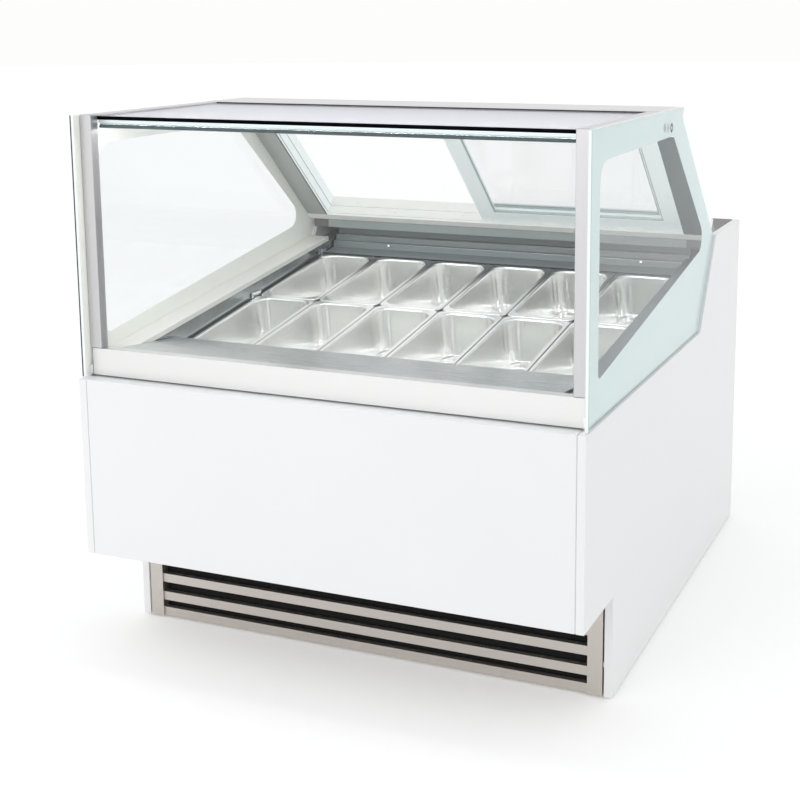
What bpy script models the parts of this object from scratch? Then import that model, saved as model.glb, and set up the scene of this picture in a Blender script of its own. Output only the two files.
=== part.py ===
"""Scooping display freezer for twelve five-litre pans, modelled as the pieces it is assembled from.

Metres, +Z up, +X to the customer's right, front towards -Y. The origin is on the floor, under the middle
of the outer case. Run with: blender --background --python part.py
"""
import math

import bpy
from mathutils import Matrix, Vector

# Outer case
WIDTH, DEPTH, HEIGHT = 1.140, 1.372, 1.182
HALF_W, FRONT_Y, BACK_Y = WIDTH / 2, -DEPTH / 2, DEPTH / 2
PANEL_T = 0.018            # side panel thickness
FLOOR_GAP = 0.004          # skirts stop this far above the floor
BASE_Z = 0.225             # underside of the front panel
SILL_Z = 0.618             # top of the front panel, where the glass starts
COUNTER_Z = 0.838          # rear work surface
KICK_Y = FRONT_Y + 0.197   # front of the toe space
GAP = 0.0005               # clearance between touching pieces
INSIDE_X = HALF_W - PANEL_T - GAP

# Glass case
GLASS_T = 0.008
GLASS_FRONT_Y = -0.672
REAR_TOP = Vector((0.014, HEIGHT))         # (y, z) of the rear slope's upper end
REAR_FOOT = Vector((0.394, COUNTER_Z))     # (y, z) of its lower end
GLASS_HEEL_Y = 0.243
BETWEEN_GLASS_X = HALF_W - GLASS_T - GAP
TOP_SEAM_Y = -0.159

# Front frame, which tilts about its bottom rail
FRAME_FRONT_Y, FRAME_BACK_Y = -0.652, -0.628
RAIL_BOTTOM_Z, RAIL_TOP_Z = 0.6215, 0.680
POST_W = 0.028
FRONT_HINGE = Vector((-0.647, 0.6315))     # (y, z)
HINGE_PIN_R = 0.003

# Rear sliding doors, in the frame of the rear slope: s runs down the slope, d out of it
FRAME_IN_D, FRAME_OUT_D = -0.036, 0.026
TOP_TRACK_S, DOOR_TOP_S, TRACK_FACE_S, TRACK_FOOT_S = 0.036, 0.066, 0.464, 0.486
JAMB_INNER_X = 0.5005
DOOR_W, DOOR_T, STILE_W = 0.538, 0.015, 0.043
PARK_OFFSET = 0.013        # the left door stands this far short of the right jamb

# Pan deck: u runs up the slope, w out of it
DECK_ORIGIN = Vector((-0.0456, 0.687))     # (y, z) of the seam between the two rows
DECK_ANGLE = math.atan(0.147)
PAN_X, PAN_Y, PAN_DEPTH, PAN_WALL = 0.1655, 0.3605, 0.120, 0.0015
PAN_PITCH, PANS_PER_ROW = 0.1672, 6
ROW_U = PAN_Y / 2 + 0.0009
WALL_X = 0.508             # inner side walls of the tub
CAP_Z0, CAP_SLOPE = 0.7385, 0.122

# Push switch in the control plate
SWITCH_X, SWITCH_Z, SWITCH_R = -0.265, 0.735, 0.011


# ---------------------------------------------------------------- helpers
def clear_scene():
    for obj in list(bpy.data.objects):
        bpy.data.objects.remove(obj, do_unlink=True)


def material(name, colour, roughness, metallic=0.0, alpha=1.0):
    mat = bpy.data.materials.new(name)
    mat.use_nodes = True
    shader = mat.node_tree.nodes["Principled BSDF"]
    shader.inputs["Base Color"].default_value = (*colour, 1.0)
    shader.inputs["Roughness"].default_value = roughness
    shader.inputs["Metallic"].default_value = metallic
    shader.inputs["Alpha"].default_value = alpha
    mat.diffuse_color = (*colour, alpha)
    return mat


def mesh_object(name, verts, faces, mat):
    mesh = bpy.data.meshes.new(name)
    mesh.from_pydata([tuple(v) for v in verts], [], faces)
    mesh.update()
    obj = bpy.data.objects.new(name, mesh)
    obj.data.materials.append(mat)
    bpy.context.collection.objects.link(obj)
    return obj


def loft(name, rings, mat, closed_ends=True):
    """Solid through rings of equal length, whose points run anticlockwise seen from the last ring."""
    count = len(rings[0])
    verts = [p for ring in rings for p in ring]
    faces = []
    for r in range(len(rings) - 1):
        for i in range(count):
            j = (i + 1) % count
            faces.append((r * count + i, r * count + j, (r + 1) * count + j, (r + 1) * count + i))
    if closed_ends:
        faces.append(tuple(reversed(range(count))))
        faces.append(tuple(range((len(rings) - 1) * count, len(rings) * count)))
    return mesh_object(name, verts, faces, mat)


def signed_area(points):
    return sum(a[0] * b[1] - b[0] * a[1] for a, b in zip(points, points[1:] + points[:1])) / 2


def prism_x(name, outline, x0, x1, mat):
    """Extrudes a (y, z) outline from x0 to x1."""
    outline = [tuple(p) for p in outline]
    if signed_area(outline) < 0:
        outline.reverse()
    return loft(name, [[(x, y, z) for y, z in outline] for x in (x0, x1)], mat)


def box(name, low, high, mat):
    outline = [(low[1], low[2]), (high[1], low[2]), (high[1], high[2]), (low[1], high[2])]
    return prism_x(name, outline, low[0], high[0], mat)


def slope_point(s, d):
    """(y, z) on the rear slope."""
    along = (REAR_FOOT - REAR_TOP).normalized()
    out = Vector((-along.y, along.x))
    return REAR_TOP + along * s + out * d


def slope_box(name, x0, x1, s0, s1, d0, d1, mat):
    corners = [slope_point(s, d) for s, d in ((s0, d0), (s1, d0), (s1, d1), (s0, d1))]
    return prism_x(name, corners, x0, x1, mat)


def deck_point(u, w):
    """(y, z) on the pan deck."""
    along = Vector((math.cos(DECK_ANGLE), math.sin(DECK_ANGLE)))
    out = Vector((-along.y, along.x))
    return DECK_ORIGIN + along * u + out * w


def deck_box(name, x0, x1, u0, u1, w0, w1, mat):
    corners = [deck_point(u, w) for u, w in ((u0, w0), (u1, w0), (u1, w1), (u0, w1))]
    return prism_x(name, corners, x0, x1, mat)


def cylinder(name, centre, axis, radius, length, mat, sides=24, smooth=True):
    """Centred on its middle, with its length along the axis 'X', 'Y' or 'Z'."""
    rings = []
    for end in (-length / 2, length / 2):
        ring = []
        for i in range(sides):
            a = 2 * math.pi * i / sides
            ring.append((radius * math.cos(a), radius * math.sin(a), end))
        rings.append(ring)
    obj = loft(name, rings, mat)
    turn = {"X": Matrix.Rotation(math.pi / 2, 4, "Y"), "Y": Matrix.Rotation(-math.pi / 2, 4, "X"),
            "Z": Matrix.Identity(4)}[axis]
    obj.data.transform(turn)
    obj.location = centre
    if smooth:
        obj.data.shade_smooth()
        obj.data.set_sharp_from_angle(angle=math.radians(40))
    return obj


def bevel(obj, width, segments=1):
    mod = obj.modifiers.new("edge", "BEVEL")
    mod.width = width
    mod.segments = segments
    mod.limit_method = "ANGLE"
    mod.angle_limit = math.radians(35)
    return obj


def combine(obj, other, operation):
    """Boolean with a helper solid, which stays in the file as a wire guide."""
    mod = obj.modifiers.new(operation.lower(), "BOOLEAN")
    mod.operation = operation
    mod.object = other
    other.hide_render = True
    other.display_type = "WIRE"
    return obj


def rounded_rectangle(half_x, half_y, radius, steps=4):
    points = []
    for cx, cy, start in ((1, 1, 0), (-1, 1, 90), (-1, -1, 180), (1, -1, 270)):
        for i in range(steps + 1):
            a = math.radians(start + 90 * i / steps)
            points.append((cx * (half_x - radius) + radius * math.cos(a),
                           cy * (half_y - radius) + radius * math.sin(a)))
    return points


# ---------------------------------------------------------------- materials
def make_materials():
    return {
        "white": material("white_paint", (0.86, 0.86, 0.87), 0.30),
        "alu": material("satin_aluminium", (0.62, 0.60, 0.58), 0.38, 1.0),
        "steel": material("brushed_stainless", (0.60, 0.62, 0.62), 0.28, 1.0),
        "pan": material("pan_stainless", (0.70, 0.70, 0.69), 0.22, 1.0),
        "cap": material("ivory_trim", (0.83, 0.85, 0.81), 0.45),
        "frame": material("door_frame", (0.78, 0.82, 0.83), 0.35, 0.6),
        "counter": material("dark_counter", (0.22, 0.21, 0.20), 0.35, 0.5),
        "glass": material("clear_glass", (0.80, 0.92, 0.91), 0.05, 0.0, 0.35),
        "side": material("side_glass", (0.78, 0.89, 0.88), 0.08, 0.0, 0.7),
        "dark": material("dark_metal", (0.05, 0.05, 0.055), 0.5, 0.3),
        "foam": material("tub_liner", (0.62, 0.64, 0.65), 0.3, 0.9),
        "galvanised": material("galvanised_sheet", (0.55, 0.57, 0.58), 0.45, 1.0),
        "copper": material("finned_coil", (0.55, 0.50, 0.46), 0.35, 1.0),
        "plastic": material("black_plastic", (0.04, 0.04, 0.045), 0.45),
        "light": material("light_diffuser", (0.95, 0.96, 0.97), 0.5),
        "chrome": material("polished_chrome", (0.85, 0.86, 0.87), 0.1, 1.0),
        "rubber": material("grey_rubber", (0.12, 0.12, 0.12), 0.8),
        "green": material("switch_green", (0.05, 0.45, 0.15), 0.4),
    }


# ---------------------------------------------------------------- cabinet
def side_panels(mat):
    outline = [(FRONT_Y, SILL_Z), (GLASS_HEEL_Y, SILL_Z), (REAR_FOOT.x, COUNTER_Z), (BACK_Y, COUNTER_Z),
               (BACK_Y, FLOOR_GAP), (KICK_Y, FLOOR_GAP), (KICK_Y, BASE_Z), (FRONT_Y, BASE_Z)]
    for name, x0 in (("side_panel_left", -HALF_W), ("side_panel_right", HALF_W - PANEL_T)):
        bevel(prism_x(name, outline, x0, x0 + PANEL_T, mat), 0.0012)


def front_panel(mat):
    """Sheet-metal skirt: upright face, top return under the glass rail, bottom return over the toe space."""
    face_t, flange = 0.020, 0.010
    outline = [(FRONT_Y, BASE_Z), (KICK_Y + 0.024, BASE_Z), (KICK_Y + 0.024, BASE_Z + flange),
               (FRONT_Y + face_t, BASE_Z + flange), (FRONT_Y + face_t, SILL_Z - flange),
               (FRAME_BACK_Y, SILL_Z - flange), (FRAME_BACK_Y, SILL_Z), (FRONT_Y, SILL_Z)]
    bevel(prism_x("front_panel", outline, -INSIDE_X, INSIDE_X, mat), 0.0015)


def back_panel(mat):
    """Rear cover with cooling louvres at its foot and a seat for the control plate."""
    low, high = (-INSIDE_X, 0.662, 0.034), (INSIDE_X, 0.680, 0.805)
    panel = box("back_panel", low, high, mat)
    for side in (-1, 1):
        for i in range(6):
            z = 0.090 + 0.026 * i
            x = side * 0.27
            slot = box(f"louvre_cut_{side}_{i}", (x - 0.17, 0.65, z), (x + 0.17, 0.69, z + 0.010), mat)
            combine(panel, slot, "DIFFERENCE")
    combine(panel,
            cylinder("switch_well_cut", (SWITCH_X, 0.671, SWITCH_Z), "Y", SWITCH_R + 0.0005, 0.05, mat, 20),
            "DIFFERENCE")


def base_tray(mat):
    """Machine tray with a lip folded down behind the toe grille."""
    y0, y1 = KICK_Y + 0.026, 0.6615
    outline = [(y0, 0.008), (y0 + 0.003, 0.008), (y0 + 0.003, 0.030), (y1, 0.030), (y1, 0.042), (y0, 0.042)]
    prism_x("base_tray", outline, -INSIDE_X, INSIDE_X, mat)


def counter_top(mat):
    """Rear work surface with the upstand that carries the door track."""
    upstand = [slope_point(TRACK_FOOT_S + GAP, d) for d in (FRAME_OUT_D, FRAME_IN_D)]
    outline = [(0.352, 0.8065), (0.686, 0.8065), (0.686, COUNTER_Z), (0.428, COUNTER_Z), *upstand]
    bevel(prism_x("counter_top", outline, -INSIDE_X, INSIDE_X, mat), 0.0015)


def insulated_tub(mat):
    """Foamed tank with an open top that follows the slope of the side caps."""
    top = [(y, CAP_Z0 + CAP_SLOPE * y - 0.0125) for y in (-0.6230, 0.4745)]
    shell = prism_x("insulated_tub", [(-0.6230, 0.290), (0.4745, 0.290), top[1], top[0]], -0.546, 0.546, mat)
    cavity = [(-0.570, 0.340), (0.412, 0.340), (0.412, 0.90), (-0.570, 0.90)]
    combine(shell, prism_x("tub_cavity_cut", cavity, -WALL_X, WALL_X, mat), "DIFFERENCE")
    combine(shell, cylinder("drain_hole_cut", (0.30, 0.30, 0.315), "Z", 0.0165, 0.1, mat, 16), "DIFFERENCE")


def front_ledge(mat):
    """Stainless apron from the front rail down to the lip over the pans."""
    sheet = 0.0015
    lip_y, lip_z, drop = -0.412, 0.657, 0.0165
    outline = [(-0.6275, RAIL_TOP_Z - 0.0005), (lip_y, lip_z), (lip_y, lip_z - drop),
               (lip_y - sheet, lip_z - drop), (lip_y - sheet, lip_z - 1.1 * sheet),
               (-0.6275, RAIL_TOP_Z - 0.0005 - sheet)]
    prism_x("front_ledge", outline, -0.5035, 0.5035, mat)


def back_step_panel(mat):
    """Folded stainless riser behind the pans."""
    sheet = 0.0015
    top = [(0.3245, 0.7409), (0.375, 0.7485), (0.377, 0.764), (0.3905, 0.766), (0.3925, 0.781), (0.408, 0.783),
           (0.408, 0.8055)]
    under = [(y + sheet, z - sheet) for y, z in top]
    under[-1] = (top[-1][0] + sheet, top[-1][1])
    under[0] = (top[0][0], top[0][1] - sheet)
    prism_x("back_step_panel", top + under[::-1], -0.5035, 0.5035, mat)


def side_caps(mat):
    """Sloping trim on the tub's side walls, with a lip that hangs into the tub."""
    y0, y1 = -0.6260, 0.3480
    section = [(0.5050, -0.012), (0.5075, -0.012), (0.5075, -0.003), (0.5610, -0.003), (0.5610, 0.0),
               (0.5050, 0.0)]
    for name, side in (("side_cap_left", -1), ("side_cap_right", 1)):
        points = [(side * x, dz) for x, dz in section]
        if signed_area(points) > 0:
            points.reverse()
        rings = [[(x, y, CAP_Z0 + CAP_SLOPE * y + dz) for x, dz in points] for y in (y0, y1)]
        bevel(loft(name, rings, mat), 0.0006)


def kick_grille(mat):
    """Welded grille: two uprights, a bottom rail and four slats."""
    post_w, depth = 0.0325, 0.022
    y0, y1 = KICK_Y + 0.001, KICK_Y + 0.001 + depth
    x1 = INSIDE_X - 0.003
    grille = box("kick_grille", (-x1, y0, FLOOR_GAP + 0.001), (-x1 + post_w, y1, BASE_Z - 0.002), mat)
    right = box("grille_post_guide", (x1 - post_w, y0, FLOOR_GAP + 0.001), (x1, y1, BASE_Z - 0.002), mat)
    combine(grille, right, "UNION")
    bars = [(FLOOR_GAP + 0.001, 0.0255)] + [(0.0430 + 0.0440 * i, 0.0635 + 0.0440 * i) for i in range(4)]
    for i, (z0, z1) in enumerate(bars):
        reach = x1 - post_w + 0.002
        bar = box(f"grille_bar_guide_{i}", (-reach, y0 + 0.004, z0), (reach, y1 - 0.004, z1), mat)
        combine(grille, bar, "UNION")


def feet(mat):
    for name, x, y in (("foot_front_left", -0.50, -0.42), ("foot_front_right", 0.50, -0.42),
                       ("foot_back_left", -0.50, 0.60), ("foot_back_right", 0.50, 0.60)):
        cylinder(name, (x, y, 0.01475), "Z", 0.024, 0.0295, mat, 20)


# ---------------------------------------------------------------- glass case
def side_glasses(mats):
    outline = [(GLASS_FRONT_Y, SILL_Z + 0.0012), (GLASS_FRONT_Y, HEIGHT), tuple(REAR_TOP),
               (REAR_FOOT.x, COUNTER_Z + 0.0012), (GLASS_HEEL_Y, SILL_Z + 0.0012)]
    for side, word in ((-1, "left"), (1, "right")):
        x0, x1 = sorted((side * HALF_W, side * (HALF_W - GLASS_T)))
        bevel(prism_x(f"side_glass_{word}", outline, x0, x1, mats["side"]), 0.0008)
        cylinder(f"glass_bolt_{word}", (side * (HALF_W - GLASS_T - 0.0065), -0.090, 1.143), "X", 0.009, 0.012,
                 mats["chrome"], 20)


def top_pieces(mats):
    top, glass_top = HEIGHT, HEIGHT - 0.0035
    bevel(box("top_glass", (-BETWEEN_GLASS_X, FRAME_BACK_Y + 0.001, glass_top - GLASS_T),
              (BETWEEN_GLASS_X, TOP_SEAM_Y - 0.002, glass_top), mats["glass"]), 0.0008)
    heel = slope_point(TOP_TRACK_S - GAP, FRAME_OUT_D)
    toe = slope_point(TOP_TRACK_S - GAP, FRAME_IN_D)
    outline = [(TOP_SEAM_Y, top - 0.010), (TOP_SEAM_Y, top), (REAR_TOP.x, top), tuple(heel), tuple(toe),
               (toe.x - 0.012, toe.y + 0.012), (toe.x - 0.012, top - 0.010)]
    prism_x("top_rear_panel", outline, -BETWEEN_GLASS_X, BETWEEN_GLASS_X, mats["frame"])
    bevel(box("light_bar", (-0.532, FRAME_BACK_Y + 0.002, 1.1530), (0.532, FRAME_BACK_Y + 0.030, 1.1700),
              mats["light"]), 0.001)


def front_frame(mats):
    """Bottom rail, two posts and the pane, which tilt forward together on two pins."""
    rail_x = 0.5555
    rail = box("front_rail", (-rail_x, FRAME_FRONT_Y, RAIL_BOTTOM_Z), (rail_x, FRAME_BACK_Y, RAIL_TOP_Z),
               mats["alu"])
    for side, word in ((-1, "left"), (1, "right")):
        bore = cylinder(f"pin_bore_{word}", (side * rail_x, *FRONT_HINGE), "X", HINGE_PIN_R + 0.0004, 0.050,
                        mats["alu"], 12)
        combine(rail, bore, "DIFFERENCE")
        hinge = box(f"front_hinge_{word}", (min(side * 0.5562, side * 0.5608), -0.6600, SILL_Z + 0.0004),
                    (max(side * 0.5562, side * 0.5608), -0.6340, 0.6440), mats["chrome"])
        pin = cylinder(f"hinge_pin_guide_{word}", (side * 0.5465, *FRONT_HINGE), "X", HINGE_PIN_R, 0.026,
                       mats["chrome"], 12)
        combine(hinge, pin, "UNION")
        x0, x1 = sorted((side * 0.5605, side * (0.5605 - POST_W)))
        bevel(box(f"front_post_{word}", (x0, FRAME_FRONT_Y, RAIL_TOP_Z + 0.0003), (x1, FRAME_BACK_Y, HEIGHT),
                  mats["alu"]), 0.001)
    pane_x = 0.5605 - POST_W - GAP
    bevel(box("front_glass", (-pane_x, -0.643, RAIL_TOP_Z + 0.0003), (pane_x, -0.637, 1.1690), mats["glass"]),
          0.0006)


# ---------------------------------------------------------------- rear doors
def door_surround(mats):
    x_out = BETWEEN_GLASS_X
    for side, word in ((-1, "left"), (1, "right")):
        x0, x1 = sorted((side * x_out, side * JAMB_INNER_X))
        bevel(slope_box(f"door_jamb_{word}", x0, x1, DOOR_TOP_S - 0.0015, TRACK_FACE_S - GAP, FRAME_IN_D,
                        FRAME_OUT_D, mats["frame"]), 0.001)
    bevel(slope_box("door_track_top", -x_out, x_out, TOP_TRACK_S, DOOR_TOP_S - 0.002, FRAME_IN_D, FRAME_OUT_D,
                    mats["frame"]), 0.001)
    groove_w, groove_s = 0.0015, 0.003
    mid = (FRAME_IN_D + FRAME_OUT_D) / 2
    face = [(TRACK_FOOT_S, FRAME_IN_D), (TRACK_FACE_S, FRAME_IN_D)]
    for d in (FRAME_IN_D + 0.006, mid):
        face += [(TRACK_FACE_S, d), (TRACK_FACE_S + groove_s, d), (TRACK_FACE_S + groove_s, d + groove_w),
                 (TRACK_FACE_S, d + groove_w)]
    face += [(TRACK_FACE_S, FRAME_OUT_D), (TRACK_FOOT_S, FRAME_OUT_D)]
    prism_x("door_track_bottom", [slope_point(s, d) for s, d in face], -x_out, x_out, mats["frame"])


def sliding_door(word, x0, d0, mats):
    """Framed pane; x0 is its left edge and d0 its inner face in the slope's frame."""
    s0, s1 = DOOR_TOP_S, TRACK_FACE_S - GAP
    d1, x1 = d0 + DOOR_T, x0 + DOOR_W
    frame = slope_box(f"door_{word}_frame", x0, x1, s0, s1, d0, d1, mats["frame"])
    hole = slope_box(f"door_{word}_hole_cut", x0 + STILE_W, x1 - STILE_W, s0 + 0.030, s1 - STILE_W, d0 - 0.01,
                     d1 + 0.01, mats["frame"])
    combine(frame, hole, "DIFFERENCE")
    rebate = slope_box(f"door_{word}_rebate_cut", x0 + STILE_W - 0.008, x1 - STILE_W + 0.008, s0 + 0.022,
                       s1 - STILE_W + 0.008, d0 + 0.0045, d0 + 0.0110, mats["frame"])
    combine(frame, rebate, "DIFFERENCE")
    slope_box(f"door_{word}_glass", x0 + STILE_W - 0.0075, x1 - STILE_W + 0.0075, s0 + 0.0225,
              s1 - STILE_W + 0.0075, d0 + 0.0050, d0 + 0.0105, mats["glass"])


def rear_doors(mats):
    inner_d = FRAME_IN_D + 0.0065
    outer_d = inner_d + DOOR_T + 0.002
    sliding_door("right", JAMB_INNER_X - 0.001 - DOOR_W, inner_d, mats)
    sliding_door("left", JAMB_INNER_X - 0.001 - DOOR_W - PARK_OFFSET, outer_d, mats)


# ---------------------------------------------------------------- pan deck
def pan_mesh(mat):
    """Deep-drawn pan: flat flange with a turned-down lip, tapered walls and a rounded floor."""
    hx, hy = PAN_X / 2, PAN_Y / 2
    floor = -PAN_DEPTH
    wall = PAN_WALL
    stations = [
        (hx - 0.030, hy - 0.036, 0.020, floor),
        (hx - 0.0215, hy - 0.027, 0.028, floor + 0.006),
        (hx - 0.0185, hy - 0.024, 0.030, floor + 0.018),
        (hx - 0.0095, hy - 0.0125, 0.036, -0.004),
        (hx - 0.0080, hy - 0.0110, 0.036, 0.0),
        (hx - 0.0012, hy - 0.0012, 0.015, 0.0),
        (hx, hy, 0.016, -0.0012),
        (hx, hy, 0.016, -0.0042),
        (hx - 0.0012, hy - 0.0012, 0.015, -0.0042),
        (hx - 0.0012, hy - 0.0012, 0.015, -wall),
        (hx - 0.0085 + wall, hy - 0.0115 + wall, 0.036 + wall, -wall - 0.001),
        (hx - 0.0185 + wall, hy - 0.024 + wall, 0.030 + wall, floor + 0.018),
        (hx - 0.0215 + wall, hy - 0.027 + wall, 0.028 + wall, floor + 0.005),
        (hx - 0.030, hy - 0.036, 0.020, floor - wall),
    ]
    rings = [[(x, y, z) for x, y in rounded_rectangle(sx, sy, radius)] for sx, sy, radius, z in stations]
    pan = loft("pan_pattern", list(reversed(rings)), mat)
    pan.data.shade_smooth()
    pan.data.set_sharp_from_angle(angle=math.radians(50))
    return pan


def pans(mats):
    """Two rows of six, sharing one mesh. Each pan's origin is the middle of its rim."""
    pattern = pan_mesh(mats["pan"])
    for row, u in (("front", -ROW_U), ("rear", ROW_U)):
        for i in range(PANS_PER_ROW):
            pan = bpy.data.objects.new(f"pan_{row}_{i + 1}", pattern.data)
            y, z = deck_point(u, 0.0)
            pan.location = ((i - (PANS_PER_ROW - 1) / 2) * PAN_PITCH, y, z)
            pan.rotation_euler = (DECK_ANGLE, 0.0, 0.0)
            bpy.context.collection.objects.link(pan)
    bpy.data.objects.remove(pattern, do_unlink=True)


def pan_rails(mat):
    """Bars across the tub that the pan flanges hang on."""
    top, foot = -0.0048, -0.024
    end_u = 2 * ROW_U
    for name, u0, u1 in (("pan_rail_front", -end_u - 0.006, -end_u + 0.0075),
                         ("pan_rail_middle", -0.0085, 0.0085),
                         ("pan_rail_rear", end_u - 0.0075, end_u + 0.006)):
        bevel(deck_box(name, -WALL_X + 0.0005, WALL_X - 0.0005, u0, u1, foot, top, mat), 0.0008)


# ---------------------------------------------------------------- refrigeration and controls
def compressor(mat):
    """Hermetic can: a turned profile with a domed lid on a foot plate."""
    profile = [(0.060, 0.0425), (0.088, 0.0485), (0.092, 0.060), (0.092, 0.150), (0.084, 0.185), (0.058, 0.207),
               (0.020, 0.214)]
    sides = 28
    rings = []
    for radius, z in profile:
        rings.append([(radius * math.cos(2 * math.pi * i / sides),
                       radius * math.sin(2 * math.pi * i / sides), z)
                      for i in range(sides)])
    can = loft("compressor", rings, mat)
    can.location = (0.26, -0.02, 0.0)
    can.data.shade_smooth()
    can.data.set_sharp_from_angle(angle=math.radians(40))


def condenser(mats):
    """Finned block behind the grille with a round fan opening in its shroud."""
    y0, y1 = -0.420, -0.345
    block = box("condenser", (-0.36, y0, 0.0425), (0.02, y1, 0.258), mats["copper"])
    hole = cylinder("shroud_cut", (-0.17, y1, 0.152), "Y", 0.096, 0.050, mats["copper"], 28)
    combine(block, hole, "DIFFERENCE")
    fan_y, hub_r, blade_r = y1 - 0.0115, 0.024, 0.090
    fan = cylinder("condenser_fan", (-0.17, fan_y, 0.152), "Y", hub_r, 0.018, mats["plastic"], 20)
    for i in range(5):
        blade = box(f"fan_blade_guide_{i}", (hub_r - 0.006, -0.0012, -0.018), (blade_r, 0.0012, 0.018),
                    mats["plastic"])
        turn = Matrix.Rotation(2 * math.pi * i / 5, 4, "Y")
        pitch = Matrix.Rotation(math.radians(22), 4, "X")
        blade.data.transform(turn @ pitch)
        blade.location = (-0.17, fan_y, 0.152)
        combine(fan, blade, "UNION")


def evaporator(mat):
    """Finned cold coil on the tub floor under the pans."""
    coil = box("evaporator", (-0.44, -0.33, 0.3450), (0.22, 0.16, 0.405), mat)
    for i in range(10):
        x = -0.42 + 0.066 * i
        combine(coil, box(f"fin_gap_cut_{i}", (x, -0.34, 0.365), (x + 0.026, 0.17, 0.41), mat), "DIFFERENCE")


def drain_spout(mat):
    """Tube through the tub floor; its bore lets melt water out."""
    spout = cylinder("drain_spout", (0.30, 0.30, 0.285), "Z", 0.0155, 0.110, mat, 16)
    combine(spout, cylinder("spout_bore_cut", (0.30, 0.30, 0.285), "Z", 0.0125, 0.2, mat, 16), "DIFFERENCE")


def controls(mats):
    """Control plate on the rear cover, its push switch, and the mains inlet."""
    plate = box("control_panel", (-0.43, 0.6805, 0.700), (-0.23, 0.6845, 0.770), mats["plastic"])
    combine(plate, cylinder("switch_hole_cut", (SWITCH_X, 0.68, SWITCH_Z), "Y", SWITCH_R + 0.0005, 0.02,
                            mats["plastic"], 20), "DIFFERENCE")
    cylinder("power_switch", (SWITCH_X, 0.6780, SWITCH_Z), "Y", SWITCH_R, 0.0156, mats["green"], 20)
    inlet = box("power_inlet", (0.36, 0.6805, 0.300), (0.42, 0.6855, 0.348), mats["plastic"])
    combine(inlet, box("inlet_socket_cut", (0.372, 0.6815, 0.312), (0.408, 0.69, 0.336), mats["plastic"]),
            "DIFFERENCE")


# ---------------------------------------------------------------- build
def build():
    clear_scene()
    mats = make_materials()
    side_panels(mats["white"])
    front_panel(mats["white"])
    back_panel(mats["white"])
    base_tray(mats["galvanised"])
    counter_top(mats["counter"])
    insulated_tub(mats["foam"])
    front_ledge(mats["steel"])
    back_step_panel(mats["steel"])
    side_caps(mats["cap"])
    kick_grille(mats["alu"])
    feet(mats["rubber"])
    side_glasses(mats)
    top_pieces(mats)
    front_frame(mats)
    door_surround(mats)
    rear_doors(mats)
    pan_rails(mats["steel"])
    pans(mats)
    compressor(mats["dark"])
    condenser(mats)
    evaporator(mats["copper"])
    drain_spout(mats["steel"])
    controls(mats)


build()
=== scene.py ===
import math

import bpy
from mathutils import Matrix, Vector
from mathutils.geometry import tessellate_polygon


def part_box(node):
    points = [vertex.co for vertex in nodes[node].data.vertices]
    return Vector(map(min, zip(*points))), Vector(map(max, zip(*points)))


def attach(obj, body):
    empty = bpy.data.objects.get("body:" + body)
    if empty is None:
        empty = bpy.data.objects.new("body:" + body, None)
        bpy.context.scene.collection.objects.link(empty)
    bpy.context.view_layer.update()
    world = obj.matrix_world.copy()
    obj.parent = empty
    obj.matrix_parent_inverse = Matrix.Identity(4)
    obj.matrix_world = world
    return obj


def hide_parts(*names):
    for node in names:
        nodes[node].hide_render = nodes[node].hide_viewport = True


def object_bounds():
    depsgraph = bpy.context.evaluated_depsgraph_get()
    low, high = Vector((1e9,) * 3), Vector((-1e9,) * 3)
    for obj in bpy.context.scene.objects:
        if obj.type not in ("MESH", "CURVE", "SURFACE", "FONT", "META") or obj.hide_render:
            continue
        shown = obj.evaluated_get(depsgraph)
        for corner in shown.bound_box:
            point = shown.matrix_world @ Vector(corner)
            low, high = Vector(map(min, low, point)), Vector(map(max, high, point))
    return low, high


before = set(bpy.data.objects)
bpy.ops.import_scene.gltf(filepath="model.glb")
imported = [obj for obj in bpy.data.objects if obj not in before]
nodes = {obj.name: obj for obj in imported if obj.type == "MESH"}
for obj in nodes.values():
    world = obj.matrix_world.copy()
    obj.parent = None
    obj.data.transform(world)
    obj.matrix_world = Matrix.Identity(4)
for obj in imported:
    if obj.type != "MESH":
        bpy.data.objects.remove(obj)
cad_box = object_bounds()
BOTTOM, TOP = cad_box[0].z, cad_box[1].z
HALF_W = cad_box[1].x
SIDES = ((-1, "left"), (1, "right"))

# rear slope, on which the sliding doors stand, in (y, z)
REAR_TOP = Vector((0.014, 1.182))
REAR_FOOT = Vector((0.394, 0.838))
ALONG = (REAR_FOOT - REAR_TOP).normalized()
OUT = Vector((-ALONG.y, ALONG.x))
JAMB_D = (-0.036, 0.026)              # the jambs' faces, measured out of the slope
JAMB_S = (0.0648, 0.4632)             # their ends, measured down the slope
DOOR_D = {"left": -0.0125, "right": -0.0295}     # each sliding door's face on the case side
TRACK_S = 0.4640                      # upper face of the bottom track

# sloping deck of pans, in (y, z)
DECK_ORIGIN = Vector((-0.0456, 0.687))
DECK_ANGLE = math.atan(0.147)
DECK_ALONG = Vector((math.cos(DECK_ANGLE), math.sin(DECK_ANGLE)))
DECK_OUT = Vector((-DECK_ALONG.y, DECK_ALONG.x))
PANS_PER_ROW = 6
PITCH = 0.1672
PAN_LENGTH = 0.3605
PAN_DEPTH = 0.120
PAN_PLAY = 0.0006                     # the drawn pan is this much smaller than its node on each side
ROW_GAP = 0.0015                      # half of the gap between the rows

# glass case
PRINT_FOOT_Z = 0.6200                 # lower end of the printed border and of its front edge line
PRINT_X = (0.5616, 0.5619)            # the printed border's inner and outer face
BOLT_SEAT_X = HALF_W - 0.0006


def slope_point(s, d):
    """(y, z) at s down the rear slope and d out of it."""
    return REAR_TOP + ALONG * s + OUT * d


def deck_point(u, w):
    """(y, z) on the sloping pan deck."""
    return DECK_ORIGIN + DECK_ALONG * u + DECK_OUT * w


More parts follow.
